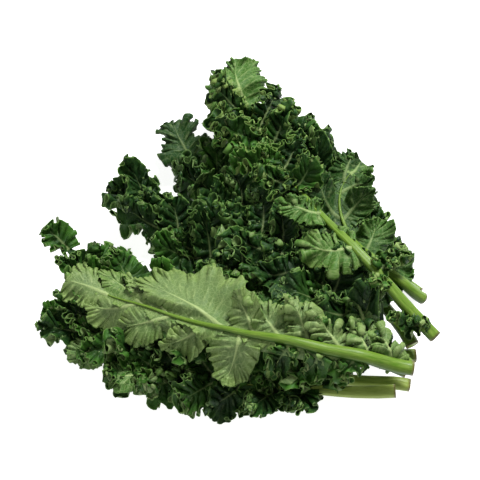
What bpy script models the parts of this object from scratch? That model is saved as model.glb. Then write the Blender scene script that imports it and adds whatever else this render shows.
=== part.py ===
"""A bunch of curly kale lying on a table, +Z up, in metres.

Eleven cut leaves fan out from their stalk ends. Each leaf is a stalk, which runs on as the midrib to the
tip, and a blade, which is one sheet across the midrib. The leaves are laid down one after another, and
each one rests on those already there.
"""

import math
from collections import namedtuple

import bmesh
import bpy
import numpy as np

COLLECTION = "kale_bunch"

# Stalks
CUT_END_RADIUS = 0.0072
TIP_RADIUS = 0.0014
TAPER = 0.85
STALK_RINGS = 24
ROUNDNESS = 2

# Blades. A blade's solid is as deep as the sheet's frill: thin at the midrib, deep at the margin.
SHEET_DEPTH = 0.0024
FRILL_DEPTH = 0.0085
ACROSS = 10
LOBES = 6
LOBE_SHARE = 0.13
BASE_SHARE = 0.38
BASE_END, WIDEST = 0.05, 0.42
TIP_NARROWING, TIP_BLUNTNESS = 0.78, 4.5
MARGIN_WAVE = 0.0045
WAVES = 4.5
PAST_TIP = 0.045
HANGS_FROM, HANGS_TO = 0.004, 0.055

# How leaves lie on each other
REST_GAP = 0.0008
OWN_GAP = 0.0006
CELL = 0.004
PILE_SIDE = 0.64
BLADE_REACH = 0.008
STALK_BEND = 2.0
TIP_BEND = 18.0
STEEPEST = 0.3
RISES_FROM = 0.6
NEAR_MIDRIB = 0.010

BLADE_COLOUR, BLADE_ROUGHNESS = (0.045, 0.125, 0.035), 0.55
UNDERSIDE_COLOUR, UNDERSIDE_ROUGHNESS = (0.17, 0.27, 0.08), 0.6
STALK_COLOUR, STALK_ROUGHNESS = (0.36, 0.50, 0.09), 0.4

# path is the midrib in plan: cut end, a third of the way, two thirds, tip. left and right are the blade's
# half widths, bare is the share of the path with no blade, droop is how far the margin hangs, tip_rise how
# far the tip turns up, and thick scales the stalk. underside_up is a leaf that lies face down.
FIELDS = "name path left right bare droop tip_rise underside_up thick"
Leaf = namedtuple("Leaf", FIELDS, defaults=(0.022, 0, False, 1))

# From the lowest leaf to the one on top.
LEAVES = [
    Leaf(
        "back_right",
        [(0.164, -0.043), (0.128, -0.008), (0.095, 0.040), (0.061, 0.110)],
        left=0.044,
        right=0.030,
        bare=0.20,
        tip_rise=0.008,
    ),
    Leaf(
        "upper_left",
        [(0.149, -0.107), (0.077, -0.049), (0.006, 0.022), (-0.056, 0.109)],
        left=0.034,
        right=0.042,
        bare=0.26,
        tip_rise=0.015,
    ),
    Leaf(
        "mid_left",
        [(0.148, -0.121), (0.062, -0.077), (-0.025, -0.018), (-0.101, 0.053)],
        left=0.038,
        right=0.040,
        bare=0.26,
        tip_rise=0.020,
    ),
    Leaf(
        "lower_left",
        [(0.148, -0.137), (0.044, -0.120), (-0.067, -0.096), (-0.162, -0.070)],
        left=0.046,
        right=0.044,
        bare=0.22,
        tip_rise=0.012,
    ),
    Leaf(
        "bottom",
        [(0.134, -0.147), (0.051, -0.142), (-0.031, -0.128), (-0.103, -0.118)],
        left=0.032,
        right=0.044,
        bare=0.24,
        tip_rise=0.006,
    ),
    Leaf(
        "left_tip",
        [(0.154, -0.111), (0.043, -0.099), (-0.075, -0.056), (-0.162, -0.001)],
        left=0.040,
        right=0.034,
        bare=0.20,
        tip_rise=0.030,
    ),
    Leaf(
        "upper_middle",
        [(0.150, -0.107), (0.111, -0.038), (0.068, 0.034), (0.030, 0.125)],
        left=0.048,
        right=0.040,
        bare=0.24,
        tip_rise=0.012,
    ),
    Leaf(
        "right",
        [(0.161, -0.064), (0.123, -0.038), (0.093, 0.013), (0.107, 0.062)],
        left=0.038,
        right=0.032,
        bare=0.18,
        droop=0.010,
        underside_up=True,
    ),
    Leaf(
        "centre",
        [(0.145, -0.128), (0.094, -0.082), (0.040, -0.024), (-0.014, 0.042)],
        left=0.052,
        right=0.050,
        bare=0.20,
        droop=0.018,
    ),
    Leaf(
        "top",
        [(0.168, -0.104), (0.102, -0.033), (0.038, 0.061), (-0.002, 0.162)],
        left=0.046,
        right=0.040,
        bare=0.40,
        droop=0.018,
        tip_rise=0.030,
    ),
    Leaf(
        "front",
        [(0.146, -0.137), (0.049, -0.119), (-0.047, -0.088), (-0.138, -0.046)],
        left=0.034,
        right=0.062,
        bare=0.12,
        droop=0.014,
        underside_up=True,
        thick=1.15,
    ),
]


def smooth_step(low, high, x):
    t = np.clip((x - low) / (high - low), 0, 1)
    return t * t * (3 - 2 * t)


def along_path(path, t):
    """The cubic that goes through the path's four points at t = 0, 1/3, 2/3 and 1."""
    a, b, c, d = np.array(path)
    first_handle = (-5 * a + 18 * b - 9 * c + 2 * d) / 6
    second_handle = (2 * a - 9 * b + 18 * c - 5 * d) / 6
    t = np.asarray(t)[..., None]
    u = 1 - t
    return u**3 * a + 3 * u * u * t * first_handle + 3 * u * t * t * second_handle + t**3 * d


def leftwards(path, t):
    """The unit vector in plan that points to the left of the path at t."""
    step = 1e-3
    forward = along_path(path, t + step) - along_path(path, t - step)
    forward /= np.linalg.norm(forward, axis=-1, keepdims=True)
    return np.stack([-forward[..., 1], forward[..., 0]], axis=-1)


def distance_along(line):
    """How far each point of a line is from its first point, measured along it."""
    return np.concatenate([[0], np.cumsum(np.linalg.norm(np.diff(line, axis=0), axis=1))])


def box_filter(values, reach, combine):
    """Each cell takes the maximum or the mean of the cells within reach of it, along both axes."""
    n = round(reach / CELL)
    for axis in (0, 1):
        padded = np.pad(values, [(n, n) if a == axis else (0, 0) for a in (0, 1)], mode="edge")
        size = values.shape[axis]
        shifted = [padded.take(range(k, k + size), axis=axis) for k in range(2 * n + 1)]
        values = combine(shifted, axis=0)
    return values


def cover(needed, reach):
    """The smooth surface over needed: the mean, within reach, of the highest value within reach."""
    return box_filter(box_filter(needed, reach, np.max), reach, np.mean)


class Pile:
    """What has been laid down so far, as the height of its top over a grid of cells in plan."""

    def __init__(self):
        n = round(PILE_SIDE / CELL)
        self.top = np.zeros((n, n))

    def cells(self, xy):
        return tuple(np.clip((xy[..., k] + PILE_SIDE / 2) / CELL, 0, len(self.top) - 1.01) for k in (0, 1))

    def read(self, field, xy):
        """The field's value at each point, taken linearly between the cells."""
        x, y = self.cells(xy)
        i, j = x.astype(int), y.astype(int)
        fx, fy = x - i, y - j
        low = field[i, j] * (1 - fy) + field[i, j + 1] * fy
        high = field[i + 1, j] * (1 - fy) + field[i + 1, j + 1] * fy
        return low * (1 - fx) + high * fx

    def stamp(self, field, points, combine):
        """Writes each point's height into the cells round it, keeping the highest or the lowest."""
        x, y = self.cells(points)
        i, j = np.rint(x).astype(int), np.rint(y).astype(int)
        last = len(field) - 1
        for di in (-1, 0, 1):
            for dj in (-1, 0, 1):
                combine.at(field, (np.clip(i + di, 0, last), np.clip(j + dj, 0, last)), points[..., 2])

    def lift(self, low_points):
        """How far a shape with this underside has to rise in each cell to clear the pile."""
        underside = np.full_like(self.top, np.inf)
        self.stamp(underside, low_points, np.minimum)
        needed = np.maximum(self.top + REST_GAP - underside, 0)
        free = np.isinf(underside) | (self.top == 0)
        return cover(np.where(free, 0, needed), BLADE_REACH)


def filled(grid, times=6):
    """The grid's points with more between them, on straight lines."""
    for axis in (0, 1):
        n = grid.shape[axis]
        at = np.linspace(0, n - 1.000001, (n - 1) * times + 1)
        k = at.astype(int)
        f = (at - k).reshape([-1 if a == axis else 1 for a in range(3)])
        grid = grid.take(k, axis=axis) * (1 - f) + grid.take(np.minimum(k + 1, n - 1), axis=axis) * f
    return grid


def stalk_radii(leaf, t):
    return leaf.thick * (TIP_RADIUS + (CUT_END_RADIUS - TIP_RADIUS) * (1 - t) ** TAPER)


def blade_outline(leaf, s, w):
    """The distance from the midrib at share s along the blade and w across it, from -1 to 1. It is
    narrow along the stalk, widens quickly, narrows to a blunt tip, and swells and shrinks with the
    lobes."""
    wide = BASE_SHARE + (1 - BASE_SHARE) * smooth_step(BASE_END, WIDEST, s)
    narrowed = 1 - TIP_NARROWING * s**TIP_BLUNTNESS
    lobes = 1 + LOBE_SHARE * np.cos(2 * math.pi * LOBES * s)
    return w * np.where(w > 0, leaf.left, leaf.right) * wide * narrowed * lobes


def stalk_ground(pile, path, radii, t):
    """How high the pile stands under each ring of a stalk: the highest cell across its thickness."""
    across = np.linspace(-1, 1, 5)[:, None, None] * (radii[:, None] + REST_GAP) * leftwards(path, t)
    return pile.read(pile.top, along_path(path, t) + across).max(axis=0)


def stiff_line(needed, path, t):
    """The lowest line over the needed heights that sags between its supports no more than a stalk can.
    A line sags by less than a given curve everywhere when it is concave once that curve is taken off,
    so the answer is the highest of all chords between two supports. The curve gives a stalk that is
    stiff at its cut end and limp at its tip."""
    x = distance_along(along_path(path, t))
    sag = STALK_BEND * x**2 / 2 + TIP_BEND * x[-1] ** 2 * t**5 / 20
    i, j, k = np.ogrid[: len(t), : len(t), : len(t)]
    level = needed - sag
    share = (x[i] - x[j]) / np.maximum(x[k] - x[j], 1e-9)
    chords = np.where((j <= i) & (i <= k), level[j] * (1 - share) + level[k] * share, -np.inf)
    line = chords.max(axis=(1, 2)) + sag
    padded = np.pad(line, 1, mode="reflect", reflect_type="odd")
    line = np.maximum(line, (padded[:-2] + 2 * line + padded[2:]) / 4)
    # Towards its cut end it drops only gently, and sticks out over what lies lower.
    run = x - x[:, None]
    return np.where(run >= 0, line - STEEPEST * run, -np.inf).max(axis=1)


def upright_clearance(radii, height, line):
    """How far above a stalk's centreline something has to be, measured upright, to clear the stalk
    where it slopes."""
    slope = np.abs(np.diff(height) / np.diff(distance_along(line)))
    padded = np.pad(slope, 1, mode="edge")
    return (radii + OWN_GAP) * np.sqrt(1 + np.maximum(padded[1:], padded[:-1]) ** 2)


def lay_leaf(pile, leaf):
    """Lays one leaf on the pile. Returns the stalk's centreline with its radii, and the blade's
    underside and upper side as grids."""
    t = np.linspace(0, 1, STALK_RINGS)
    radii = stalk_radii(leaf, t)
    line = along_path(leaf.path, t)
    ground = stalk_ground(pile, leaf.path, radii, t)
    room = SHEET_DEPTH + OWN_GAP if leaf.underside_up else 0
    height = stiff_line(ground + np.where(ground > 0, REST_GAP, 0) + room + radii, leaf.path, t)
    height += leaf.tip_rise * smooth_step(RISES_FROM, 1, t)

    # The blade has a row of points at each ring of the stalk, and one more past the tip.
    rows = np.append(t[round(leaf.bare * (STALK_RINGS - 1)) :], 1 + PAST_TIP)
    s = ((rows - rows[0]) / (rows[-1] - rows[0]))[:, None]
    w = np.linspace(1, -1, ACROSS + 1)[None, :]
    sideways = blade_outline(leaf, s, w)
    plan = along_path(leaf.path, rows)[:, None]
    plan = plan + leftwards(leaf.path, rows)[:, None] * sideways[..., None]

    depth = SHEET_DEPTH + (FRILL_DEPTH - SHEET_DEPTH) * np.abs(w) ** 1.5 + 0 * s
    hanging = leaf.droop * smooth_step(HANGS_FROM, HANGS_TO, np.abs(sideways))
    wave = MARGIN_WAVE * w**2 * np.sin(2 * math.pi * (WAVES * s + 0.25 * np.sign(w)))
    clear = np.interp(rows, t, upright_clearance(radii, height, line))[:, None]
    under = np.interp(rows, t, height)[:, None] - hanging + wave
    under = under - clear - depth if leaf.underside_up else under + clear
    low = np.dstack([plan, under])
    lift = pile.lift(filled(low).reshape(-1, 3))

    # Near the midrib the blade rises with the stalk, so that the two stay clear of each other.
    near = leftwards(leaf.path, t) * (NEAR_MIDRIB * np.linspace(-1, 1, 5)[:, None, None])
    own = pile.read(lift, line + near).max(axis=0)
    height += own
    free = smooth_step(NEAR_MIDRIB, 2.5 * NEAR_MIDRIB, np.abs(sideways))
    low[..., 2] += np.interp(rows, t, own)[:, None] * (1 - free) + pile.read(lift, plan) * free
    extra = np.interp(rows, t, upright_clearance(radii, height, line))[:, None] - clear
    low[..., 2] += np.maximum(extra, 0) * (-1 if leaf.underside_up else 1)
    high = low + np.dstack([np.zeros_like(plan), depth])

    # A blade that hangs below the table's level lies flat on it.
    low[..., 2] = np.maximum(low[..., 2], 0)
    high[..., 2] = np.maximum(high[..., 2], SHEET_DEPTH)
    sides = leftwards(leaf.path, t)[:, None] * radii[:, None, None] * np.array([-1, 0, 1])[:, None]
    crest = np.dstack([line[:, None] + sides, np.repeat((height + radii)[:, None], 3, axis=1)])
    for points in (filled(high), filled(crest)):
        pile.stamp(pile.top, points, np.maximum)
    return np.column_stack([line, height]), radii, low, high


def plain_material(name, colour, roughness):
    material = bpy.data.materials.new(name)
    material.use_nodes = True
    shader = material.node_tree.nodes["Principled BSDF"]
    shader.inputs["Base Color"].default_value = (*colour, 1)
    shader.inputs["Roughness"].default_value = roughness
    shader.inputs["Metallic"].default_value = 0
    return material


def blade_material(leaf):
    if leaf.underside_up:
        return plain_material(f"{leaf.name}_blade_underside", UNDERSIDE_COLOUR, UNDERSIDE_ROUGHNESS)
    return plain_material(f"{leaf.name}_blade_face", BLADE_COLOUR, BLADE_ROUGHNESS)


def stalk_material(leaf):
    return plain_material(f"{leaf.name}_stalk_skin", STALK_COLOUR, STALK_ROUGHNESS)


def put(name, data, collection, material):
    made = bpy.data.objects.new(name, data)
    data.materials.append(material)
    collection.objects.link(made)
    return made


def stalk_object(leaf, centreline, radii, collection):
    """A tapering round bar along the centreline, cut square at both ends."""
    name = f"{leaf.name}_stalk"
    curve = bpy.data.curves.new(name, "CURVE")
    curve.dimensions = "3D"
    curve.bevel_depth = CUT_END_RADIUS
    curve.bevel_resolution = ROUNDNESS
    curve.use_fill_caps = True
    spline = curve.splines.new("POLY")
    spline.points.add(len(centreline) - 1)
    spline.use_smooth = True
    for point, place, radius in zip(spline.points, centreline, radii):
        point.co = (*place, 1)
        point.radius = radius / CUT_END_RADIUS
    return put(name, curve, collection, stalk_material(leaf))


def blade_object(leaf, low, high, collection):
    """A closed slab between two grids of points: a flat grid is raised into a plain slab, and the slab's
    two layers are then moved to the blade's underside and upper side."""
    name = f"{leaf.name}_blade"
    rows, columns = low.shape[:2]
    body = bmesh.new()
    bmesh.ops.create_grid(body, x_segments=columns - 1, y_segments=rows - 1, size=0.5)
    under = sorted(body.verts, key=lambda v: (round(v.co.y, 4), v.co.x))
    raised = bmesh.ops.extrude_face_region(body, geom=list(body.faces), use_keep_orig=True)
    upper = [v for v in raised["geom"] if isinstance(v, bmesh.types.BMVert)]
    upper.sort(key=lambda v: (round(v.co.y, 4), v.co.x))
    bmesh.ops.translate(body, verts=upper, vec=(0, 0, 1))
    bmesh.ops.recalc_face_normals(body, faces=list(body.faces))
    for layer, places in ((under, low), (upper, high)):
        for vertex, place in zip(layer, places.reshape(-1, 3)):
            vertex.co = place
    mesh = bpy.data.meshes.new(name)
    body.to_mesh(mesh)
    body.free()
    return put(name, mesh, collection, blade_material(leaf))


def surface_points(made):
    """Every vertex of an object's finished surface, a curve's bevel included."""
    bpy.context.view_layer.update()
    shown = made.evaluated_get(bpy.context.evaluated_depsgraph_get())
    points = np.array([shown.matrix_world @ v.co for v in shown.to_mesh().vertices])
    shown.to_mesh_clear()
    return points


def stand_on_origin(objects):
    """Moves everything so that the box round the bunch stands on the origin by its middle."""
    points = np.concatenate([surface_points(made) for made in objects])
    low, high = points.min(axis=0), points.max(axis=0)
    middle = (low + high) / 2
    for made in objects:
        made.location = (-middle[0], -middle[1], -low[2])


def main():
    for old in list(bpy.data.objects):
        bpy.data.objects.remove(old)
    collection = bpy.data.collections.new(COLLECTION)
    bpy.context.scene.collection.children.link(collection)
    pile = Pile()
    made = []
    for leaf in LEAVES:
        stalk, radii, low, high = lay_leaf(pile, leaf)
        made.append(stalk_object(leaf, stalk, radii, collection))
        made.append(blade_object(leaf, low, high, collection))
    stand_on_origin(made)


main()
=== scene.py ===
"""A bunch of curly kale lying on a pale surface, in metres, +Z up.

Each leaf is a stalk and a blade. A blade is made of lobes, and of a narrow web along the midrib that joins
their roots. A lobe is a grid: one direction runs round its margin, from its base on one side, round its
tip, to its base on the other, and the other runs from its vein out to the margin. It starts as a flat fan,
its outer band is curled, and frills of smaller and smaller length are folded into it, each on the shape
that the last one left. It is then laid on the bed that the CAD blade gives, between the leaves below it
and those above it. A stalk is a tube along the middle of the CAD stalk.
"""

import math
from collections import namedtuple

import bpy
import numpy as np
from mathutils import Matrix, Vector


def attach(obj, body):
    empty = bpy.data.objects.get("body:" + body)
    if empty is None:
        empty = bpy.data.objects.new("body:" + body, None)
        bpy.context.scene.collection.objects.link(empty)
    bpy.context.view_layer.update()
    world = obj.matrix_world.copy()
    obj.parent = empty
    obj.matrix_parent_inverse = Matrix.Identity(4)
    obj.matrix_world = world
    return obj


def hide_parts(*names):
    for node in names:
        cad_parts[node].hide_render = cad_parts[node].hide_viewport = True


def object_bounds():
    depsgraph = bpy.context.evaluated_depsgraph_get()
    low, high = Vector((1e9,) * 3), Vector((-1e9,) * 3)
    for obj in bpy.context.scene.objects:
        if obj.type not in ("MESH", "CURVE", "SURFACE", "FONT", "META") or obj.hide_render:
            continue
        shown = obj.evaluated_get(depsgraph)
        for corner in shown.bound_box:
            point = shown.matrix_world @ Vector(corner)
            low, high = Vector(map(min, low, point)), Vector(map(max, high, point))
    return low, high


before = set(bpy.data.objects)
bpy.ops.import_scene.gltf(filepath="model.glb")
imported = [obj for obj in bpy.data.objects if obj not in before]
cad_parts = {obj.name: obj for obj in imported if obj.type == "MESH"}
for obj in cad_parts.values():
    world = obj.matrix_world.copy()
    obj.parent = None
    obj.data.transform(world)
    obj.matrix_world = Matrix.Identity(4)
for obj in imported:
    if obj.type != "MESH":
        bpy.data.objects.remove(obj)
cad_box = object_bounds()

MM = 0.001

# A lobe's grid: places along its margin, and shares of the way from its vein out to the margin.
COLUMNS = 221
ROWS = np.array([0, 0.06, 0.14, 0.27, 0.43, 0.58, 0.71, 0.81, 0.89, 0.95, 1.0])

# The sheet's thickness, and how far veins stand out of its underside and out of its face, where they sink.
SHEET = 0.45 * MM
VEIN_RISE = 1.1 * MM
VEIN_SINK = -0.1 * MM

# Height maps in plan: their cells, how far they go past the CAD's box, over how many cells their steps are
# softened, and how far the topmost leaf may rise above the box before it is held down.
CELL = 1.5 * MM
MAP_MARGIN = 30 * MM
MAP_SOFTENING = 6
HEADROOM = 11 * MM

# The bed: samples along the spine and over how many it is smoothed, how far the bed goes to each side and
# past the tip, its rows and columns, where it leaves the midrib, and how fast it falls past the blade.
SPINE_SAMPLES, SPINE_SOFTENING = 360, 14
REACH = 90 * MM
PAST_TIP = 14 * MM
BED_ROWS, BED_COLUMNS, BED_SOFTENING = 120, 91, 3
ATTACHED = 0.4
JOINS_FROM, JOINS_TO = 5 * MM, 15 * MM
FALL = 0.2 * MM

# A lobe keeps at least this much room to move in, and this height above the table.
LEAST_ROOM = 2.5 * MM
LOWEST = 0.6 * MM

# A lobe's outline: the share of its vein that columns leave from, the angle of its lowest columns, the
# share of its length that lies past the last column's foot, and how much its base narrows.
FOOT_SHARE, FAN_ANGLE, FAN_POWER = 0.78, math.radians(104), 0.75
TIP_SHARE, BASE_NARROWING = 0.24, 0.22

# A lobe's margin: how ragged it is, as shares of its reach and the lengths of those waves in mm; the band
# that curls, in mm and as a share of the reach; and how that curl wanders.
RAGGED, RAGGED_WAVES = (0.16, 0.09), (9, 3.5)
BAND, BAND_SHARE = 13, 0.7
CURL_SMALL, CURL_WAVES = 0.4, (26, 8)

# Small veins: how far apart they are on the margin in mm, how they wander, and how far the leaf puffs up
# between them. Widths of the main vein at its root and of what it loses, and of the small ones, in mm.
BRANCH_EVERY, BRANCH_WANDER, BRANCH_WAVE = 12, (0.3, 0.55), 17
PUFF = 1.2
MAIN_VEIN, MAIN_VEIN_LOSS, SMALL_VEIN = 1.5, 1.0, 0.55

# A lobe's vein bends towards the leaf's tip by this many radians over its length.
VEIN_BEND = 0.45

# Where a leaf lies underside up, its lobes lie flat by the midrib up to HUG_FROM and are free from HUG_TO
# on, and each is raised by a share of its lift, so that no two lie in one plane.
HUG_FROM, HUG_TO, HUG_LIFT = 3 * MM, 11 * MM, 0.14

# The web along the midrib: its half width at its ends and what it gains, where it starts before the blade.
WEB_NARROW, WEB_GAIN, WEB_START, WEB_TAPER = 2, 9, 6 * MM, 30 * MM
WEB_COLUMNS, WEB_ROWS = 150, 9

# Where the midrib ends: as a share of the spine, or this far past the root of a given tip lobe. A tip lobe
# is one past TIP_FROM that turns aside by less than TIP_ANGLE; other lobes then stop at these shares.
MIDRIB_END, PAST_TIP_LOBE = 0.97, 0.02
TIP_FROM, TIP_ANGLE = 0.8, 20
PAIRS_STOP, CRESTS_STOP = 0.82, 0.75

# Stalks: rings and points round each, thickness against the CAD's for leaves that lie underside up and for
# the others, the share that they lose towards the tip, and twice that over the last END_TAPER.
STALK_RINGS, STALK_SIDES = 180, 32
THICKNESS_UNDERSIDE, THICKNESS_FACE = 0.74, 0.82
TAPER, END_TAPER = 0.5, 40 * MM
GROOVE, GROOVE_WIDTH = 0.16, 0.5
RIBS, RIB_HEIGHTS = (9, 14), (0.022, 0.012)

# The bake map's cells, across and down.
BAKE_CELLS = np.array([5, 4])

# left and right are the half widths in mm, bare the share of the stalk with no blade, pairs the lobes on
# each side, crests the small lobes on the midrib, curl and spread the turn of the margin towards the
# leaf's face in radians, frill the strength of its frills, tone how light it is, yellow how yellow its
# underside is.
FIELDS = "name seed left right bare pairs crests curl spread frill tone yellow underside_up"
Leaf = namedtuple("Leaf", FIELDS, defaults=(False,))

# From the lowest leaf to the one on top.
LEAVES = [
    Leaf("back_right", 1, 50, 36, 0.20, 6, 2, 0.6, 0.7, 1.0, -0.2, 0.3),
    Leaf("upper_left", 2, 42, 46, 0.26, 6, 2, 0.6, 0.7, 1.0, -0.2, 0.0),
    Leaf("mid_left", 3, 44, 46, 0.26, 6, 4, 0.6, 0.7, 1.0, -0.3, 0.3),
    Leaf("lower_left", 4, 50, 50, 0.22, 6, 4, 0.6, 0.7, 1.0, 0.1, 0.4),
    Leaf("bottom", 5, 40, 52, 0.24, 6, 4, 0.6, 0.7, 1.0, 0.0, 0.4),
    Leaf("left_tip", 6, 46, 40, 0.20, 6, 3, 0.6, 0.7, 1.0, 0.5, 0.4),
    Leaf("upper_middle", 7, 52, 46, 0.24, 6, 4, 0.6, 0.7, 1.0, -0.1, 0.3),
    Leaf("right", 8, 46, 40, 0.18, 4, 0, 0.1, 0.6, 0.70, -2.2, 0.6, True),
    Leaf("centre", 9, 58, 56, 0.20, 6, 3, 0.6, 0.7, 1.0, -0.2, 0.3),
    Leaf("top", 10, 54, 48, 0.55, 6, 3, 0.6, 0.7, 1.0, 0.1, 1.0),
    Leaf("front", 11, 42, 72, 0.12, 0, 0, -0.1, 0.5, 0.6, 0.3, 0.75, True),
]

# Lobes that are given one by one. share is how far along the midrib a lobe's vein leaves it, angle what it
# makes with the midrib in degrees, more than 0 to the left. Its length, its widths towards the leaf's tip
# and base, and its lift are in mm. tilt lifts its tip and roll its lower side. A lobe that is turned shows
# its other side. Its tone is added to the leaf's.
Lobe = namedtuple(
    "Lobe",
    "share angle length ahead behind lift tilt roll frill curl turned tone",
    defaults=(1.0, 0.6, False, 0.0),
)

LOBES = {
    "top": [
        Lobe(0.87, 11, 56, 27, 27, 16, 0.14, 0.0, 0.60, 0.5, True, -1.65),
        Lobe(0.31, 66, 52, 20, 21, 1, 0.10, 0.0, 0.8, 0.15, True, -1.2),
        Lobe(0.45, 52, 40, 14, 15, 2, 0.20, 0.0, 0.9, 0.15, True, -1.7),
        Lobe(0.77, 66, 54, 17, 18, 1, 0.10, 0.1),
        Lobe(0.19, 80, 17, 8, 9, 3, 0.40, 0.0),
        Lobe(0.22, -95, 32, 12, 13, 1, 0.0, 0.0),
        Lobe(0.03, 42, 34, 8, 9, 0, 0.0, 0.0, 1.0, 0.5),
    ],
    "centre": [
        Lobe(0.12, 62, 33, 14, 14, 5, 0.2, 0.2, 0.9, 0.5, True, -0.4),
        Lobe(0.20, -30, 34, 14, 14, 6, 0.2, 0.2, 0.9, 0.5, True, -0.5),
    ],
    "upper_left": [
        Lobe(0.88, 10, 56, 23, 23, 9, 0.1, 0.0, 0.75, 0.4, True, -2.7),
        Lobe(0.72, -38, 46, 16, 17, 7, 0.1, 0.2, 0.8, 0.4, True, -2.6),
    ],
    "upper_middle": [Lobe(0.76, 72, 50, 18, 18, 1, 0.0, 0.0)],
    "lower_left": [Lobe(0.84, 62, 46, 17, 18, 6, 0.1, 0.0, 0.5, 0.2, True, -0.7)],
    "bottom": [Lobe(0.86, 26, 54, 18, 18, 6, 0.1, 0.0, 0.5, 0.2, True, -0.8)],
    "left_tip": [
        Lobe(0.96, -8, 36, 14, 14, 5, 0.2, 0.0, 0.9, 0.5),
        Lobe(0.87, 38, 34, 14, 14, 3, 0.2, 0.1, 0.9, 0.5),
        Lobe(0.84, -42, 30, 14, 14, 3, 0.2, 0.1, 0.9, 0.5),
    ],
    "front": [
        Lobe(0.05, -60, 38, 14, 15, 7, 0.1, 0.2, 1.0, 0.8, False, -0.5),
        Lobe(0.13, -66, 34, 14, 15, 6, 0.2, 0.3, 1.0, 0.9, False, -0.4),
        Lobe(0.20, -48, 42, 16, 17, 5, 0.2, 0.3, 1.0, 0.8, False, -0.3),
        Lobe(0.29, -62, 46, 17, 18, 4, 0.2, 0.3, 0.9, 0.7, False, -0.4),
        Lobe(0.37, -46, 46, 17, 18, 3, 0.2, 0.3, 0.8, 0.6, False, -0.2),
        Lobe(0.45, -58, 40, 15, 15, 9, 0.1, -0.3, 0.6, 0.4),
        Lobe(0.535, -24, 98, 19, 40, 9, 0.02, 0.22, 0.60, 0.1, False, 0.3),
        Lobe(0.63, -42, 54, 16, 15, 4, 0.0, 0.30, 0.50, 0.2, False, -0.5),
        Lobe(0.71, -34, 64, 17, 16, 4, 0.0, 0.40, 0.45, 0.3, False, 0.2),
        Lobe(0.79, -30, 62, 18, 16, 2, 0.0, 0.40, 0.50, 0.2, False, -0.2),
        Lobe(0.91, -2, 50, 20, 20, 0.5, 0.0, 0.0, 0.60, 0.1),
        Lobe(0.16, 60, 26, 11, 12, 0, 0.0, 0.2, 1.0, 0.6, True),
        Lobe(0.25, 66, 28, 12, 13, 0, 0.0, 0.2, 1.0, 0.6, True),
        Lobe(0.34, 70, 28, 13, 13, 0, 0.0, 0.2, 1.0, 0.6, True),
        Lobe(0.49, 100, 42, 22, 20, 5, 0.0, 0.0, 0.60, 0.1, False, -0.3),
        Lobe(0.59, 50, 42, 18, 17, 3.5, 0.0, 0.2, 0.75, 0.3, False, -0.2),
        Lobe(0.70, 40, 52, 19, 18, 2, 0.0, 0.1, 0.65, 0.2),
        Lobe(0.81, 30, 52, 19, 18, 1, 0.0, 0.1, 0.60, 0.1),
    ],
}

# The leaves whose stalks are painted paler: painted light, where they lie in the shade of the leaves above
# them.
PAINTED_LIGHT_STALKS = ("lower_left", "bottom")

# Frills: length, height, how far in from the margin they reach (all mm), how far they lean over, and how
# strongly they follow the lobe's own share of frill.
FRILLS = [
    (34, 4.8, 17, 0.5, 1.5),
    (9.2, 4.2, 15, 1.1, 1.8),
    (3.8, 1.7, 7.5, 1.0, 0.5),
]


# ---------------------------------------------------------------- helpers


def smooth_step(low, high, x):
    """0 up to low, 1 from high on, and between them three times t squared less twice t cubed."""
    t = np.clip((x - low) / (high - low), 0, 1)
    return t * t * (3 - 2 * t)


def unit(v):
    """Vectors divided by their lengths."""
    return v / np.maximum(np.linalg.norm(v, axis=-1, keepdims=True), 1e-12)


def blurred(values, reach, axis=0):
    """values smoothed along one axis by a bell-shaped weight that reaches so many samples either way."""
    weights = np.exp(-0.5 * (np.arange(-reach, reach + 1) / (reach / 2.5)) ** 2)
    pad = [(reach, reach) if a == axis else (0, 0) for a in range(values.ndim)]
    padded = np.pad(values, pad, mode="edge")
    n = values.shape[axis]
    total = sum(w * padded.take(range(k, k + n), axis=axis) for k, w in enumerate(weights))
    return total / weights.sum()


def wander(rng, x, spacing):
    """A smooth random line between about -1 and 1 over x, which turns about once in each spacing."""
    knots = np.arange(math.floor(x.min() / spacing) - 1, math.ceil(x.max() / spacing) + 3)
    values = rng.uniform(-1, 1, len(knots))
    k = np.floor(x / spacing).astype(int) - knots[0]
    f = x / spacing - np.floor(x / spacing)
    f = f * f * (3 - 2 * f)
    return values[k] * (1 - f) + values[k + 1] * f


def from_grid(field, x, y):
    """The value of a grid of numbers at fractional row x and column y, taken linearly between samples."""
    x = np.clip(x, 0, field.shape[0] - 1.001)
    y = np.clip(y, 0, field.shape[1] - 1.001)
    i, j = x.astype(int), y.astype(int)
    fx, fy = x - i, y - j
    low = field[i, j] * (1 - fy) + field[i, j + 1] * fy
    high = field[i + 1, j] * (1 - fy) + field[i + 1, j + 1] * fy
    return low * (1 - fx) + high * fx


# ---------------------------------------------------------------- what the CAD gives


def triangles(node):
    """The CAD node's surface as an array of triangles, three corners each."""
    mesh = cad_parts[node].data
    co = np.empty(len(mesh.vertices) * 3, np.float32)
    mesh.vertices.foreach_get("co", co)
    mesh.calc_loop_triangles()
    corner = np.empty(len(mesh.loop_triangles) * 3, np.int32)
    mesh.loop_triangles.foreach_get("vertices", corner)
    return co.reshape(-1, 3)[corner].reshape(-1, 3, 3).astype(float)


MAP_LOW = np.array(cad_box[0])[:2] - MAP_MARGIN
MAP_HIGH = np.array(cad_box[1])[:2] + MAP_MARGIN
MAP_SHAPE = tuple(np.ceil((MAP_HIGH - MAP_LOW) / CELL).astype(int) + 1)


def cell(xy):
    """Fractional row and column of a place in plan on the height maps."""
    return (xy[..., 0] - MAP_LOW[0]) / CELL, (xy[..., 1] - MAP_LOW[1]) / CELL


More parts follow.
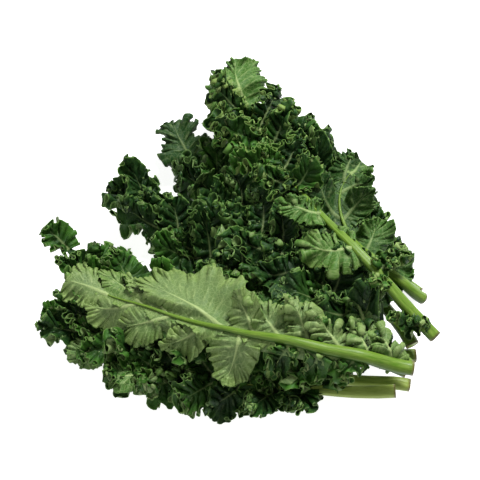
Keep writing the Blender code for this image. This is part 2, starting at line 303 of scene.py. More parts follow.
def height_map(node):
    """The node's lowest and highest surface over each cell of the plan, from points spread over all its
    triangles; infinite where there is none."""
    tris = triangles(node)
    longest = np.linalg.norm(tris - np.roll(tris, 1, axis=1), axis=2).max()
    n = int(longest / CELL) + 2
    u, v = np.meshgrid(np.arange(n + 1) / n, np.arange(n + 1) / n)
    inside = u + v <= 1 + 1e-9
    u, v = u[inside][:, None, None], v[inside][:, None, None]
    a, b, c = tris[:, 0], tris[:, 1], tris[:, 2]
    points = (a + (b - a) * u + (c - a) * v).reshape(-1, 3)
    i, j = (np.rint(k).astype(int) for k in cell(points))
    low, high = np.full(MAP_SHAPE, np.inf), np.full(MAP_SHAPE, -np.inf)
    np.minimum.at(low, (i, j), points[:, 2])
    np.maximum.at(high, (i, j), points[:, 2])
    return low, high


def centreline(node, sides=8, rounds=6, degree=7, samples=1500):
    """The middle of each ring of a CAD stalk, from its cut end, and the rings' radii. The rings are told
    apart by how far along a smooth line through the stalk their points lie; each round fits that line, a
    Chebyshev series, to the rings' middles and sorts the points along it again."""
    points = np.unique(triangles(node).reshape(-1, 3).round(6), axis=0)
    count = len(points) // sides
    middle = points.mean(axis=0)
    along = (points - middle) @ np.linalg.svd(points - middle, full_matrices=False)[2][0]
    fit = np.polynomial.chebyshev.Chebyshev.fit
    for _ in range(rounds):
        order = np.argsort(along)[: count * sides]
        rings = points[order].reshape(count, sides, 3)
        middles = rings.mean(axis=1)
        place = along[order].reshape(count, sides).mean(axis=1)
        grid = np.linspace(along.min(), along.max(), samples)
        line = np.stack([fit(place, middles[:, k], degree)(grid) for k in range(3)], axis=1)
        nearest = np.linalg.norm(points[:, None] - line[None], axis=2).argmin(axis=1)
        along = grid[nearest]
    radii = np.linalg.norm(rings - middles[:, None], axis=2).mean(axis=1)
    if radii[0] < radii[-1]:
        middles, radii = middles[::-1], radii[::-1]
    return middles, radii


class Spine:
    """A leaf's stalk and midrib: its place, leftward direction and radius at a distance from the cut."""

    def __init__(self, node):
        middles, radii = centreline(node)
        step = np.linalg.norm(np.diff(middles, axis=0), axis=1)
        at = np.concatenate([[0], np.cumsum(step)])
        self.length = at[-1]
        self.at = np.linspace(0, self.length + PAST_TIP, SPINE_SAMPLES)
        inner = np.minimum(self.at, self.length)
        line = np.stack([np.interp(inner, at, middles[:, k]) for k in range(3)], axis=1)
        onwards = unit(middles[-1] - middles[-3]) * [1, 1, 0.3]
        line += np.maximum(self.at - self.length, 0)[:, None] * onwards
        self.line = blurred(line, SPINE_SOFTENING)
        self.line[0] = middles[0]
        self.radii = np.interp(inner, at, radii)
        tangent = unit(np.gradient(self.line, axis=0))
        flat = unit(tangent * [1, 1, 0])
        self.left = np.stack([-flat[:, 1], flat[:, 0], np.zeros(len(flat))], axis=1)

    def read(self, values, at):
        """values, one for each of the spine's samples, at distances from the cut end."""
        if values.ndim == 1:
            return np.interp(at, self.at, values)
        return np.stack([np.interp(at, self.at, values[:, k]) for k in range(3)], axis=-1)


MAPS = {node: height_map(node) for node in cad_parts}
SPINES = {leaf.name: Spine(f"{leaf.name}_stalk") for leaf in LEAVES}


def room_for(index):
    """The plan's height maps of what lies over a leaf and of what lies under it, with their steps
    softened."""
    floor, ceiling = np.zeros(MAP_SHAPE), np.full(MAP_SHAPE, cad_box[1][2] + HEADROOM)
    for k, leaf in enumerate(LEAVES):
        for part in ("blade", "stalk"):
            low, high = MAPS[f"{leaf.name}_{part}"]
            if k < index:
                floor = np.maximum(floor, high)
            if k > index:
                ceiling = np.minimum(ceiling, low)
    return tuple(blurred(blurred(k, MAP_SOFTENING), MAP_SOFTENING, axis=1) for k in (ceiling, floor))


class Bed:
    """The smooth surface that a leaf's sheet follows: the middle of its CAD blade, carried on outwards
    past the blade's edge, and drawn to the midrib along the middle."""

    def __init__(self, leaf, spine):
        self.spine = spine
        at = np.linspace(0, spine.length + PAST_TIP, BED_ROWS)
        aside = np.linspace(-REACH, REACH, BED_COLUMNS)
        plan = spine.read(spine.line, at)[:, None] + spine.read(spine.left, at)[:, None] * aside[:, None]
        low, high = MAPS[f"{leaf.name}_blade"]
        i, j = (np.clip(np.rint(k).astype(int), 0, n - 1) for k, n in zip(cell(plan), MAP_SHAPE))
        with np.errstate(invalid="ignore"):
            middle = (low[i, j] + high[i, j]) / 2
        side = -1 if leaf.underside_up else 1
        attached = spine.read(spine.line, at)[:, 2] + side * ATTACHED * spine.read(spine.radii, at)
        middle = self.carried_outwards(middle, attached)
        away = smooth_step(JOINS_FROM, JOINS_TO, np.abs(aside))[None]
        middle = attached[:, None] * (1 - away) + middle * away
        self.height = blurred(blurred(middle, BED_SOFTENING), BED_SOFTENING, axis=1)

    @staticmethod
    def carried_outwards(middle, attached):
        """Fills the cells past the blade's edge from the last cell inside it, falling a little."""
        half = BED_COLUMNS // 2
        middle[:, half] = np.where(np.isfinite(middle[:, half]), middle[:, half], attached)
        for k in range(1, half + 1):
            for now, before in ((half + k, half + k - 1), (half - k, half - k + 1)):
                empty = ~np.isfinite(middle[:, now])
                middle[empty, now] = middle[empty, before] - FALL
        return middle

    def place(self, at, aside):
        """The point of the bed at a distance along the midrib and a distance to its left."""
        spine = self.spine
        point = spine.read(spine.line, at) + spine.read(spine.left, at) * aside[..., None]
        row = at / (spine.length + PAST_TIP) * (BED_ROWS - 1)
        column = (aside + REACH) / (2 * REACH) * (BED_COLUMNS - 1)
        point[..., 2] = from_grid(self.height, row, column)
        return point


BEDS = [(Bed(leaf, SPINES[leaf.name]), *room_for(k)) for k, leaf in enumerate(LEAVES)]


# ---------------------------------------------------------------- the leaf's lobes


def tip_lobe(leaf):
    """The lobe that is given for a leaf's tip, or None."""
    given = LOBES.get(leaf.name, [])
    found = [lobe for lobe in given if lobe.share > TIP_FROM and abs(lobe.angle) < TIP_ANGLE]
    return found[0] if found else None


def midrib_end(leaf):
    """How far along the spine the midrib shows: past a given tip lobe's root its own vein carries on."""
    tip = tip_lobe(leaf)
    return min(MIDRIB_END, tip.share + PAST_TIP_LOBE) if tip else MIDRIB_END


def own_lobes(leaf, spine, rng):
    """The lobes that a leaf has of its own accord: pairs along the midrib, one at its tip, and a few small
    ones, its crests, that stand on the midrib and cover it. Up the leaf, the angle of a pair's lobes falls
    from 76 degrees to 24, their length grows and then shrinks, and their width is a share of the distance
    to the next pair. Each measure is then varied a little."""
    span = 1 - leaf.bare
    lobes = []
    own_tip = tip_lobe(leaf)
    for k in range(leaf.pairs):
        for side, half_width in ((1, leaf.left), (-1, leaf.right)):
            u = (k + 0.30 + 0.25 * (side > 0) + rng.uniform(-0.12, 0.12)) / leaf.pairs
            angle = 24 + 52 * (1 - u) ** 0.8 + rng.uniform(-7, 7)
            wide = (0.50 + 0.50 * smooth_step(0, 0.35, u)) * (1 - 0.42 * u**3)
            length = half_width * wide / math.sin(math.radians(angle)) ** 0.5 * rng.uniform(0.88, 1.1)
            across = span * spine.length / MM / leaf.pairs * math.sin(math.radians(max(angle, 40)))
            width = 0.60 * across * rng.uniform(0.9, 1.2)
            shape = (width, width * rng.uniform(0.9, 1.3), rng.uniform(0, 3))
            lean = (rng.uniform(0.05, 0.8), rng.uniform(-0.2, 0.9))
            place = leaf.bare + span * 0.97 * u
            if not own_tip or place < PAIRS_STOP:
                lobes.append(Lobe(place, side * angle, length, *shape, *lean, leaf.frill, leaf.curl))
    if not own_tip:
        lobes.append(Lobe(0.94, rng.uniform(-8, 8), 34, 15, 15, 2, 0.3, 0.0, leaf.frill, leaf.curl))
    for k in range(leaf.crests):
        share = leaf.bare + span * (0.12 + 0.80 * (k + 0.5) / leaf.crests)
        angle = rng.choice([-1, 1]) * rng.uniform(10, 38)
        shape = (rng.uniform(24, 31), 11, 12, rng.uniform(5, 8))
        if not own_tip or share < CRESTS_STOP:
            lobes.append(Lobe(share, angle, *shape, 0.35, 0.0, leaf.frill, leaf.curl))
    return lobes


def even_columns(count):
    """Places round a lobe's margin, -1 at its base on one side, 0 at its tip, 1 at its base on the other,
    spread so that the margin of a middling lobe is cut into even lengths."""
    c = np.linspace(-1, 1, 4001)
    foot, turn, reach = lobe_outline(c, length=45.0, plus=14.0, minus=14.0)
    edge = np.stack([foot + reach * np.cos(turn), reach * np.sin(turn)], axis=1)
    run = np.concatenate([[0], np.cumsum(np.linalg.norm(np.diff(edge, axis=0), axis=1))])
    return np.interp(np.linspace(0, run[-1], count), run, c)


def lobe_outline(c, length, plus, minus):
    """Where each column leaves the lobe's vein, the angle it makes with the vein, and its length to the
    margin: the columns fan out from the vein, straight on at its tip and square to it along its sides. The
    feet are spread evenly along the vein, the angle grows as a power of the place along the margin, and
    the length passes smoothly from the tip's to the side's width, plus or minus."""
    q = np.abs(c)
    foot = FOOT_SHARE * length * (1 - q)
    turn = np.sign(c) * FAN_ANGLE * q**FAN_POWER
    width = np.where(c > 0, plus, minus)
    tip = TIP_SHARE * length
    reach = tip + (width - tip) * smooth_step(0, 0.45, q)
    return foot, turn, reach * (1 - BASE_NARROWING * smooth_step(0.75, 1, q))


def lobe_sheets(leaf, index, lobes, rng):
    """All of a leaf's lobes at once, each a grid of its middle surface: first the flat fan, then the outer
    band curled up, then each frill, then the lobe's own tilt and roll, and last the lobe carried on to
    the leaf's bed, along a vein that bends towards the leaf's tip."""
    spine = SPINES[leaf.name]
    table = np.array([lobe[:10] for lobe in lobes], float)
    columns = (k[:, None, None] for k in table.T)
    share, degrees, length, ahead, behind, lift, tilt, roll, frill, curl = columns
    length, ahead, behind, lift = (k * MM for k in (length, ahead, behind, lift))
    turned = np.array([-1.0 if lobe.turned != leaf.underside_up else 1.0 for lobe in lobes])
    turned = turned[:, None, None]
    nth = np.arange(len(lobes))[:, None, None]
    side = np.where(degrees < 0, -1.0, 1.0)
    plus, minus = np.where(side > 0, behind, ahead), np.where(side > 0, ahead, behind)

    c = even_columns(COLUMNS)[None, :, None]
    v = ROWS[None, None, :]
    foot, turn, reach = lobe_outline(c, length, plus, minus)
    margin = np.stack([foot + reach * np.cos(turn), reach * np.sin(turn)], axis=-1)
    steps = np.linalg.norm(np.diff(margin, axis=1, prepend=margin[:, :1]), axis=-1)
    run = np.cumsum(steps, axis=1) + nth
    (coarse, fine), (coarse_wave, fine_wave) = RAGGED, RAGGED_WAVES
    ragged = 1 + coarse * wander(rng, run, coarse_wave * MM) + fine * wander(rng, run, fine_wave * MM)
    reach = reach * ragged

    band = np.minimum(BAND * MM, BAND_SHARE * reach)
    long_wave, short_wave = CURL_WAVES
    wandering = wander(rng, run, long_wave * MM) + CURL_SMALL * wander(rng, run, short_wave * MM)
    psi = curl + leaf.spread * wandering
    out = v * reach
    psi = psi * smooth_step(0, 1, (out - (reach - band)) / band)
    step = np.diff(out, axis=2, prepend=0)
    outwards, risen = np.cumsum(step * np.cos(psi), axis=2), np.cumsum(step * np.sin(psi), axis=2)
    points = np.stack([foot + outwards * np.cos(turn), outwards * np.sin(turn), turned * risen], axis=-1)

    inside = (1 - v) * reach
    held = smooth_step(0, 0.3, v)
    on_margin, across_lobe = BRANCH_WANDER
    branch = run / (BRANCH_EVERY * MM) + on_margin * wander(rng, run, BRANCH_WAVE * MM)
    branch = branch + across_lobe * wander(rng, v * 3 + 9 * nth, 1.1) * held
    puffed = np.abs(np.sin(math.pi * branch)) * held * (1 - 0.5 * v) * PUFF * MM
    points = points + normals(points) * (turned * puffed)[..., None]
    for wave, high, deep, lean, follow in FRILLS:
        share_of = frill**follow
        wave, high, deep = wave * MM, high * MM * share_of, deep * MM * np.sqrt(share_of)
        turns = run / wave + 0.4 * wander(rng, run, 1.7 * wave)
        phi = 2 * math.pi * turns
        strength = 1 + 0.45 * wander(rng, run, 3.1 * wave)
        window = np.exp(-((inside / deep) ** 1.6)) * strength * held
        normal = normals(points)
        edgeways = unit(np.gradient(points, axis=1))
        points = points + normal * (high * window * np.sin(phi))[..., None]
        slide = lean * share_of * wave / (4 * math.pi) * window * np.sin(2 * phi)
        points = points - edgeways * slide[..., None]

    x, y, z = points[..., 0], points[..., 1], points[..., 2]
    z = z + lift * smooth_step(0, 0.4, x / length) + tilt * x * smooth_step(0, 0.8, x / length)
    z = z - side * roll * y * smooth_step(0, 0.35, x / length)
    bend = -side * VEIN_BEND / length
    start = np.radians(degrees)
    heading = start + bend * x
    at = share * spine.length + (np.sin(heading) - np.sin(start)) / bend - y * np.sin(heading)
    aside = (np.cos(start) - np.cos(heading)) / bend + y * np.cos(heading)
    if leaf.underside_up:
        z = z * smooth_step(HUG_FROM, HUG_TO, np.abs(aside)) + HUG_LIFT * lift
    placed = placed_on_bed(leaf, index, at, aside, z)

    up_lobe = np.clip(x / length, 0, 1)
    vein_width = (MAIN_VEIN - MAIN_VEIN_LOSS * up_lobe) * MM
    main_vein = np.exp(-((v * reach / vein_width) ** 2)) * (1 - 0.8 * up_lobe)
    from_branch = np.abs(branch - np.rint(branch)) * 11 * MM * (0.25 + 0.75 * v)
    small_vein = 0.45 * np.exp(-((from_branch / (SMALL_VEIN * MM)) ** 2)) * (1 - v**2) * held
    tone = 0.5 * rng.uniform(-1, 1, len(lobes)) + [lobe.tone for lobe in lobes]
    values = {
        "vein": np.maximum(main_vein, small_vein),
        "inside": inside + 0 * run,
        "tone": tone[:, None, None] + 0 * inside,
    }
    flat = np.stack([foot + out * np.cos(turn) + nth * 0.3, out * np.sin(turn)], -1)
    return placed, turned[:, 0, 0], values, flat


def web_sheet(leaf, index):
    """The strip of blade on each side of the midrib, which joins the lobes' roots."""
    spine = SPINES[leaf.name]
    end = spine.length * midrib_end(leaf)
    at = np.linspace(leaf.bare * spine.length - WEB_START, end, WEB_COLUMNS)[None, :, None]
    ends = smooth_step(0, WEB_TAPER, at - at.min()), smooth_step(0, WEB_TAPER, at.max() - at)
    half = (WEB_NARROW + WEB_GAIN * ends[0] * ends[1]) * MM
    aside = np.linspace(1, -1, WEB_ROWS)[None, None, :] * half
    at = at + 0 * aside
    placed = placed_on_bed(leaf, index, at, aside, 0 * aside)
    # The web counts as far in from the margin, so it takes the face's painted shade at its strongest.
    values = {"vein": 0 * aside, "inside": 0.02 + 0 * aside, "tone": 0 * aside}
    turned = np.array([-1.0 if leaf.underside_up else 1.0])
    return placed, turned, values, np.stack([at, aside], -1)


def placed_on_bed(leaf, index, at, aside, z):
    """Puts points on the leaf's bed and z above it, pressed softly into the room that it has there: z is
    replaced by the room times the hyperbolic tangent of z over the room."""
    bed, above, below = BEDS[index]
    points = bed.place(at, aside)
    where = cell(points)
    up = np.maximum(from_grid(above, *where) - points[..., 2], LEAST_ROOM)
    down = np.maximum(points[..., 2] - from_grid(below, *where), LEAST_ROOM)
    points[..., 2] += np.where(z > 0, up * np.tanh(z / up), down * np.tanh(z / down))
    points[..., 2] = np.maximum(points[..., 2], LOWEST)
    return points


def normals(points):
    """Square to the sheet, on its upper side; the row on the vein takes its neighbour's."""
    normal = unit(np.cross(np.gradient(points, axis=-2), np.gradient(points, axis=-3)))
    normal[..., 0, :] = normal[..., 1, :]
    return normal


def shell(points, turned, values, flat, welded, cells):
    """Closes grids of a middle surface into shells: an upper and a lower side, half a sheet from it, and a
    rim between them round the margin. Veins stand out on the leaf's underside. Where welded is true, both
    halves of a grid's first row are one line. cells are the squares of the bake map that it fills."""
    count, cols, rows = points.shape[:3]
    normal = normals(points)
    ridge = values["vein"]
    upside = turned[:, None, None]
    up = SHEET / 2 + np.where(upside < 0, VEIN_RISE, VEIN_SINK) * ridge
    down = SHEET / 2 + np.where(upside > 0, VEIN_RISE, VEIN_SINK) * ridge
    vertices = np.concatenate([(points + normal * up[..., None]), (points - normal * down[..., None])])
    number = np.arange(count * cols * rows).reshape(count, cols, rows)
    if welded:
        half = cols // 2
        number[:, half + 1 :, 0] = number[:, :half, 0][:, ::-1]
    below = count * cols * rows
    a, b, c, d = number[:, :-1, :-1], number[:, 1:, :-1], number[:, 1:, 1:], number[:, :-1, 1:]
    top = np.stack([a, d, c, b], axis=-1).reshape(-1, 4)
    bottom = np.stack([a, b, c, d], axis=-1).reshape(-1, 4) + below
    around = [number[:, 0, :-1], number[:, :-1, -1], number[:, -1, :0:-1]]
    if not welded:
        around.append(number[:, :0:-1, 0])
    rim = np.concatenate(around, axis=1)
    after = np.roll(rim, -1, axis=1)
    wall = np.stack([rim, after, after + below, rim + below], axis=-1)[..., ::-1].reshape(-1, 4)

    twice = {key: np.concatenate([value.ravel(), value.ravel()]) for key, value in values.items()}
    under = np.broadcast_to(upside < 0, ridge.shape).ravel()
    twice["underside"] = np.concatenate([under, ~under]).astype(float)
    flat = np.concatenate([flat.reshape(-1, 2)] * 2)
    bake = bake_places(cols, rows, rim.shape[1], cells)
    return vertices.reshape(-1, 3), np.concatenate([top, bottom, wall]), bake, twice, flat


def bake_places(cols, rows, around, cells):
    """Places on the bake map for the corners of shells' faces. In each shell's cell the upper side fills
    the lower part, the lower side the middle, and the rim a strip along the top."""
    u, w = np.meshgrid(np.linspace(0.02, 0.98, cols), np.linspace(0.0, 1.0, rows), indexing="ij")
    grid = np.stack([u, w], axis=-1)
    corners = [grid[:-1, :-1], grid[1:, :-1], grid[1:, 1:], grid[:-1, 1:]]
    tops = np.stack([corners[k] for k in (0, 3, 2, 1)], axis=2).reshape(-1, 4, 2) * [1, 0.44] + [0, 0.02]
    bottoms = np.stack(corners, axis=2).reshape(-1, 4, 2) * [1, 0.44] + [0, 0.48]
    left = 0.02 + 0.96 * np.arange(around) / around
    right = left + 0.96 / around
    low, high = np.full(around, 0.94), np.full(around, 0.98)
    square = ((left, low), (right, low), (right, high), (left, high))
    strip = np.stack([np.stack(k, axis=-1) for k in square], axis=1)
    places = np.stack([cells % BAKE_CELLS[0], cells // BAKE_CELLS[0]], axis=-1)[:, None, None]
    parts = [(k[None] + places) / BAKE_CELLS for k in (tops, bottoms, strip[:, ::-1])]
    return np.concatenate([k.reshape(-1, 2) for k in parts])


def blade(leaf, index):
    """A leaf's blade: the shells of its lobes and of the web along the midrib, in one mesh."""
    rng = np.random.default_rng(leaf.seed)
    lobes = (own_lobes(leaf, SPINES[leaf.name], rng) if leaf.pairs else []) + LOBES.get(leaf.name, [])
    placed = lobe_sheets(leaf, index, lobes, rng)
    parts = [
        shell(*placed, welded=True, cells=np.arange(1, len(lobes) + 1)),
        shell(*web_sheet(leaf, index), welded=False, cells=np.array([0])),
    ]
    counts = np.cumsum([0] + [len(part[0]) for part in parts])
    vertices = np.concatenate([part[0] for part in parts])
    faces = np.concatenate([part[1] + before for part, before in zip(parts, counts)])
    bake = np.concatenate([part[2] for part in parts])
    values = {key: np.concatenate([part[3][key] for part in parts]) for key in parts[0][3]}
    flat = np.concatenate([part[4] for part in parts])[faces.ravel()]
    used, faces = np.unique(faces, return_inverse=True)
    values = {key: value[used] for key, value in values.items()}
    values["tone"] = values["tone"] + leaf.tone
    values["yellow"] = np.full(len(used), leaf.yellow)
    maps = {"leaf": flat / (100 * MM), "OFBake": bake}
    return make_mesh(f"{leaf.name}_leaf_blade", vertices[used], faces.reshape(-1, 4), values, maps)


def make_mesh(name, vertices, faces, values, maps):
    """A mesh object from arrays, shaded smooth, with values given per point and maps per face corner."""
    mesh = bpy.data.meshes.new(name)
    mesh.vertices.add(len(vertices))
    mesh.vertices.foreach_set("co", vertices.astype(np.float32).ravel())
    mesh.loops.add(faces.size)
    mesh.loops.foreach_set("vertex_index", faces.astype(np.int32).ravel())
    mesh.polygons.add(len(faces))
    mesh.polygons.foreach_set("loop_start", np.arange(0, faces.size, 4, dtype=np.int32))
    mesh.polygons.foreach_set("use_smooth", np.ones(len(faces), bool))
    mesh.update(calc_edges=True)
    for key, value in values.items():
        attribute = mesh.attributes.new(key, "FLOAT", "POINT")
        attribute.data.foreach_set("value", value.astype(np.float32))
    for key, places in maps.items():
        layer = mesh.uv_layers.new(name=key)
        layer.data.foreach_set("uv", places.astype(np.float32).ravel())
    made = bpy.data.objects.new(name, mesh)
    bpy.context.scene.collection.objects.link(made)
    return made


# ---------------------------------------------------------------- the stalk


def stalk(leaf):
    """A tube carried along the spine. Its section is a circle less a bell-shaped groove on the leaf's face,
    plus two sine waves round it that are its fine ribs; its thickness tapers and wanders a little, and
    both ends are closed by rings that shrink to a point."""
    rng = np.random.default_rng(leaf.seed + 50)
    spine = SPINES[leaf.name]
    around = STALK_SIDES
    end = spine.length * midrib_end(leaf)
    at = np.linspace(0, end, STALK_RINGS)
    line = spine.read(spine.line, at)
    left = unit(spine.read(spine.left, at))
    tangent = unit(np.gradient(line, axis=0))
    up = unit(np.cross(tangent, left))
    left = unit(np.cross(up, tangent))
    radius = spine.read(spine.radii, at) * (THICKNESS_UNDERSIDE if leaf.underside_up else THICKNESS_FACE)
    radius = radius * (1 - TAPER * smooth_step(0.1, 0.8, at / spine.length))
    radius = radius * (1 - TAPER * smooth_step(end - END_TAPER, end, at))
    turn = np.linspace(0, 2 * math.pi, around, endpoint=False)
    face = 1.5 * math.pi if leaf.underside_up else 0.5 * math.pi
    section = 1 - GROOVE * np.exp(-(((turn - face) / GROOVE_WIDTH) ** 2))
    broad, narrow = RIB_HEIGHTS
    section += broad * np.sin(RIBS[0] * turn + rng.uniform(0, 6)) + narrow * np.sin(RIBS[1] * turn)
    size = radius * (1 + 0.03 * wander(rng, at, 25 * MM) + 0.015 * wander(rng, at, 7 * MM))

    first = np.array([0.0, 0.55, 0.9])
    last = np.array([0.8, 0.5, 0.0])
    cut_end = line[0] + tangent[0] * (0.25 * MM * first)[:, None]
    tip_end = line[-1] + tangent[-1] * (size[-1] * (1 - last))[:, None]
    middles = np.concatenate([cut_end, line, tip_end])
    sizes = np.concatenate([size[0] * first, size, size[-1] * last])
    lefts = np.concatenate([np.repeat(left[:1], 3, 0), left, np.repeat(left[-1:], 3, 0)])
    ups = np.concatenate([np.repeat(up[:1], 3, 0), up, np.repeat(up[-1:], 3, 0)])
    out = np.cos(turn)[None, :, None] * -lefts[:, None] + np.sin(turn)[None, :, None] * ups[:, None]
    points = middles[:, None] + (sizes[:, None] * section)[..., None] * out
    count = len(points)
    number = np.arange(count * around).reshape(count, around)
    after = np.roll(number, -1, axis=1)
    faces = np.stack([number[:-1], after[:-1], after[1:], number[1:]], axis=-1).reshape(-1, 4)
    along = np.concatenate([np.zeros(3), at, np.full(3, at[-1])])
    values = {
        "cut": np.repeat(np.arange(count) < 4, around).astype(float),
        "core": np.repeat(np.concatenate([first, np.ones(count - 3)]), around),
        "sunny": np.tile(np.sin(turn), count),
        # pale marks a stalk that is painted lighter, as painted light.
        "pale": np.full(count * around, float(leaf.name in PAINTED_LIGHT_STALKS)),
    }
    u, w = np.meshgrid(along, np.arange(around + 1) / around, indexing="ij")
    flat = np.stack([u, w], axis=-1)
    even = np.stack([np.linspace(0.01, 0.99, count)[:, None] + 0 * w, 0.01 + 0.98 * w], axis=-1)
    maps = {}
    for key, grid in (("leaf", flat), ("OFBake", even)):
        corners = [grid[:-1, :-1], grid[:-1, 1:], grid[1:, 1:], grid[1:, :-1]]
        maps[key] = np.stack(corners, axis=2).reshape(-1, 2)
    return make_mesh(f"{leaf.name}_leaf_stalk", points.reshape(-1, 3), faces, values, maps)


# ---------------------------------------------------------------- materials


class Shader:
    """A material's nodes, made and linked in short calls. Each call adds one node and gives its output."""

    def __init__(self, name):
        self.material = bpy.data.materials.new(name)
        self.material.use_nodes = True
        self.tree = self.material.node_tree
        self.surface = self.tree.nodes["Principled BSDF"]

    def node(self, kind, inputs=(), **settings):
        """A node of a kind, with values or links for its inputs, by name or number."""
        made = self.tree.nodes.new(kind)
        for key, value in settings.items():
            setattr(made, key, value)
        for key, value in dict(inputs).items():
            self.feed(made.inputs[key], value)
        return made

    def feed(self, socket, value):
        """Links another node's output to a socket, or sets the socket's own value."""
        if isinstance(value, bpy.types.NodeSocket):
            self.tree.links.new(value, socket)
        elif isinstance(value, tuple) and len(value) == 3 and socket.type == "RGBA":
            socket.default_value = (*value, 1)
        else:
            socket.default_value = value

    def value(self, name):
        return self.node("ShaderNodeAttribute", attribute_name=name).outputs["Fac"]

    def map(self, name):
        return self.node("ShaderNodeUVMap", uv_map=name).outputs["UV"]

    def here(self):
        return self.node("ShaderNodeTexCoord").outputs["Object"]

    def noise(self, vector, scale, detail=3.0, roughness=0.5):
        inputs = {"Vector": vector, "Scale": scale, "Detail": detail, "Roughness": roughness}
        return self.node("ShaderNodeTexNoise", inputs).outputs["Fac"]

    def cells(self, vector, scale):
        """How far a place is from the edges of irregular cells."""
        inputs = {"Vector": vector, "Scale": scale}
        made = self.node("ShaderNodeTexVoronoi", inputs, feature="DISTANCE_TO_EDGE")
        return made.outputs["Distance"]

    def range(self, value, low, high, to_low=0.0, to_high=1.0):
        """to_low up to low, to_high from high on, and a smooth step between them."""
        inputs = {0: value, 1: low, 2: high, 3: to_low, 4: to_high}
        return self.node("ShaderNodeMapRange", inputs, interpolation_type="SMOOTHSTEP").outputs[0]

    def maths(self, operation, a, b=0.0):
        return self.node("ShaderNodeMath", {0: a, 1: b}, operation=operation).outputs[0]

    def mix(self, share, a, b):
        """Colour a, passing to b as the share goes from 0 to 1."""
        made = self.node("ShaderNodeMix", data_type="RGBA")
        self.feed(made.inputs["Factor"], share)
        self.feed(made.inputs[6], a)
        self.feed(made.inputs[7], b)
        return made.outputs[2]

    def bump(self, height, strength, distance):
        inputs = {"Height": height, "Strength": strength, "Distance": distance}
        return self.node("ShaderNodeBump", inputs).outputs["Normal"]


def leaf_material(name, deep, dark, mid, pale, under_grey, under_yellow, vein):
    """Waxy kale leaf: a dark green face with painted shade that darkens it further in from the margin, a
    paler underside between grey-green and yellow-green, a net of fine veins in both, pale side veins that
    show more on the underside, and a thin margin painted pale, partly its own lighter colour and partly a
    painted highlight. The tone attribute shifts both sides from light to dark, and inside is the distance
    from the margin in metres."""
    s = Shader(name)
    flat = s.map("leaf")
    here = s.here()
    underside = s.value("underside")
    ridge = s.value("vein")
    inside = s.value("inside")
    tone = s.value("tone")
    large = s.maths("ADD", s.noise(here, 26, 3), s.maths("MULTIPLY", tone, 0.34))
    small = s.noise(here, 260, 4, 0.6)
    net = s.range(s.cells(flat, 24), 0.0, 0.10)
    fine_net = s.range(s.cells(flat, 62), 0.0, 0.16)
    lines = s.maths("MULTIPLY", net, s.maths("ADD", s.maths("MULTIPLY", fine_net, 0.5), 0.5))
    face = s.mix(s.range(large, 0.35, 0.72), dark, mid)
    face = s.mix(s.range(small, 0.5, 0.8, 0.0, 0.28), face, pale)
    face = s.mix(s.range(lines, 0.0, 1.0, 0.12, 0.0), face, pale)
    # Painted shade: the face passes towards the deep colour further in from the margin, where the frills
    # shade it.
    face = s.mix(s.range(inside, 0.003, 0.011, 0.0, 0.5), face, deep)
    face = s.mix(s.range(ridge, 0.15, 0.9, 0.0, 0.45), face, vein)
    outer = s.range(inside, 0.016, 0.001, 0.0, 0.55)
    yellowed = s.maths("MULTIPLY", s.value("yellow"), s.maths("ADD", outer, 0.45))
    under = s.mix(yellowed, under_grey, under_yellow)
    under = s.mix(s.range(s.noise(here, 70, 3), 0.42, 0.66, 0.0, 0.35), under, under_grey)
    under = s.mix(s.range(large, 0.05, 0.58, 0.88, 0.0), under, mid)
    under = s.mix(s.range(large, -0.55, 0.10, 0.92, 0.0), under, dark)
    showing = s.range(large, -0.45, 0.25, 0.35, 1.0)
    under = s.mix(s.maths("MULTIPLY", s.range(lines, 0.0, 1.0, 0.30, 0.0), showing), under, vein)
    under = s.mix(s.maths("MULTIPLY", s.range(ridge, 0.08, 0.6, 0.0, 0.85), showing), under, vein)
    colour = s.mix(underside, face, under)
    # The margin painted pale: partly its own lighter colour, partly a painted highlight where the thin edge
    # catches the light; noise breaks it up.
    broken = s.range(s.noise(here, 90, 2), 0.3, 0.7, 0.15, 0.75)
    rim = s.maths("MULTIPLY", s.range(inside, 0.0013, 0.0), broken)
    colour = s.mix(rim, colour, pale)
    s.feed(s.surface.inputs["Base Color"], colour)
    s.feed(s.surface.inputs["Roughness"], s.range(small, 0.2, 0.8, 0.42, 0.62))
    s.feed(s.surface.inputs["Specular IOR Level"], 0.22)
    raised = s.maths("ADD", s.maths("MULTIPLY", lines, 0.8), s.maths("MULTIPLY", small, 0.4))
    s.feed(s.surface.inputs["Normal"], s.bump(raised, 0.5, 0.0005))
    return s.material


def stalk_material(name, light, green, edge, pale, cut):
    """Kale stalk: yellow-green with fine streaks along it, painted shade that turns it darker green where it
    faces down, and a browned cut end. The pale attribute paints light on a whole stalk that lies in the
    leaves' shade, making it paler."""
    s = Shader(name)
    flat = s.map("leaf")
    stretched = s.node("ShaderNodeMapping", {"Vector": flat, "Scale": (14.0, 9.0, 1.0)}).outputs[0]
    streaks = s.noise(stretched, 6, 4, 0.6)
    here = s.here()
    blotch = s.noise(here, 60, 3)
    colour = s.mix(s.range(streaks, 0.35, 0.7), green, light)
    # Painted shade: the side that faces down, away from the lamps, passes to the dark edge colour.
    colour = s.mix(s.range(s.value("sunny"), -0.1, 0.75), edge, colour)
    colour = s.mix(s.range(blotch, 0.55, 0.75, 0, 0.35), colour, edge)
    # Painted light: a stalk marked pale passes towards the pale colour, lit up where it lies in the leaves'
    # shade.
    colour = s.mix(s.maths("MULTIPLY", s.value("pale"), s.range(streaks, 0.3, 0.7, 0.45, 0.8)), colour, pale)
    end = s.mix(s.range(s.value("core"), 0.55, 1.0), light, cut)
    colour = s.mix(s.value("cut"), colour, end)
    s.feed(s.surface.inputs["Base Color"], colour)
    s.feed(s.surface.inputs["Roughness"], s.range(streaks, 0.3, 0.7, 0.32, 0.5))
    s.feed(s.surface.inputs["Specular IOR Level"], 0.3)
    s.feed(s.surface.inputs["Normal"], s.bump(streaks, 0.35, 0.0004))
    return s.material


# ---------------------------------------------------------------- the room


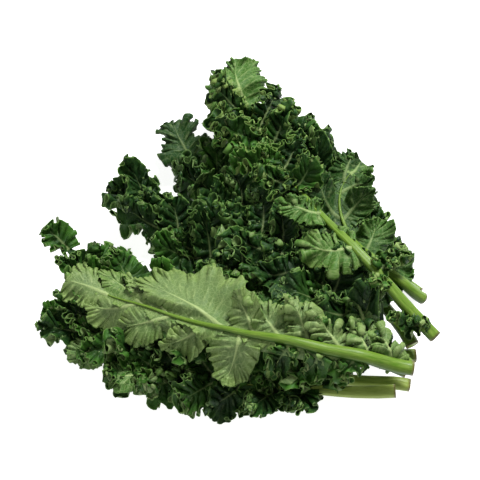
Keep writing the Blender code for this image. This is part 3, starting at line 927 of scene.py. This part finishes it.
def floor_piece():
    """A pale level surface, far larger than the view."""
    mesh = bpy.data.meshes.new("table_top")
    side = 3.0
    corners = [(-side, -side, 0), (side, -side, 0), (side, side, 0), (-side, side, 0)]
    mesh.from_pydata(corners, [], [(0, 1, 2, 3)])
    made = bpy.data.objects.new("table_top", mesh)
    bpy.context.scene.collection.objects.link(made)
    s = Shader("white_surface")
    s.feed(s.surface.inputs["Base Color"], (0.6, 0.6, 0.6))
    s.feed(s.surface.inputs["Roughness"], 0.8)
    s.feed(s.surface.inputs["Emission Color"], (1.0, 1.0, 1.0))
    s.feed(s.surface.inputs["Emission Strength"], 0.88)
    mesh.materials.append(s.material)
    return made


def soft_light(name, place, size, watts):
    """A round lamp that faces the middle of the bunch."""
    light = bpy.data.lights.new(name, "AREA")
    light.shape = "DISK"
    light.size = size
    light.energy = watts
    made = bpy.data.objects.new(name, light)
    made.location = place
    towards = Vector((0, 0, 0.04)) - Vector(place)
    made.rotation_euler = towards.to_track_quat("-Z", "Y").to_euler()
    bpy.context.scene.collection.objects.link(made)


def camera():
    """Looks down on the bunch from the front, from 68 degrees above the table, and takes in as much as is
    across metres wide at the bunch."""
    distance, elevation, across = 1.3, math.radians(68), 0.432
    target = Vector((0.004, -0.005, 0.03))
    away = Vector((0, -math.cos(elevation), math.sin(elevation)))
    data = bpy.data.cameras.new("camera")
    data.sensor_width = 36
    data.lens = data.sensor_width * distance / across
    made = bpy.data.objects.new("camera", data)
    made.location = target + away * distance
    made.rotation_euler = (-away).to_track_quat("-Z", "Y").to_euler()
    bpy.context.scene.collection.objects.link(made)
    bpy.context.scene.camera = made


def studio():
    """A white backdrop that lights the bunch only faintly, and two soft lamps."""
    world = bpy.data.worlds.new("studio")
    world.use_nodes = True
    backdrop = world.node_tree.nodes["Background"]
    backdrop.inputs["Color"].default_value = (1, 1, 1, 1)
    seen = world.node_tree.nodes.new("ShaderNodeLightPath")
    strength = world.node_tree.nodes.new("ShaderNodeMapRange")
    world.node_tree.links.new(seen.outputs["Is Camera Ray"], strength.inputs["Value"])
    strength.inputs["To Min"].default_value = 0.20
    world.node_tree.links.new(strength.outputs["Result"], backdrop.inputs["Strength"])
    bpy.context.scene.world = world
    bpy.context.scene.view_settings.view_transform = "Standard"
    soft_light("key", place=(0.55, 1.0, 1.5), size=0.6, watts=54)
    soft_light("fill", place=(-0.9, -0.9, 1.3), size=1.2, watts=6)


# ---------------------------------------------------------------- the bunch


def main():
    studio()
    camera()
    floor_piece()

    leaf_green = leaf_material(
        "kale_leaf",
        # deep is the painted shade colour for the face further in from the margin.
        deep=(0.002, 0.012, 0.002),
        dark=(0.006, 0.035, 0.005),
        mid=(0.037, 0.128, 0.012),
        # pale is the leaf's own lighter colour, and on the margin partly a painted highlight.
        pale=(0.15, 0.28, 0.055),
        under_grey=(0.090, 0.155, 0.060),
        under_yellow=(0.20, 0.30, 0.070),
        vein=(0.36, 0.46, 0.18),
    )
    stalk_green = stalk_material(
        "kale_stalk",
        light=(0.20, 0.30, 0.045),
        green=(0.085, 0.190, 0.012),
        # edge is the painted shade on a stalk's downward side; it also darkens random blotches.
        edge=(0.030, 0.090, 0.008),
        # pale is the painted light on stalks that lie in the leaves' shade.
        pale=(0.40, 0.50, 0.11),
        cut=(0.16, 0.12, 0.05),
    )
    for index, leaf in enumerate(LEAVES):
        sheet_piece = blade(leaf, index)
        sheet_piece.data.materials.append(leaf_green)
        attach(sheet_piece, "root")
        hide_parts(f"{leaf.name}_blade")
        stalk_piece = stalk(leaf)
        stalk_piece.data.materials.append(stalk_green)
        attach(stalk_piece, "root")
        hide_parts(f"{leaf.name}_stalk")


main()
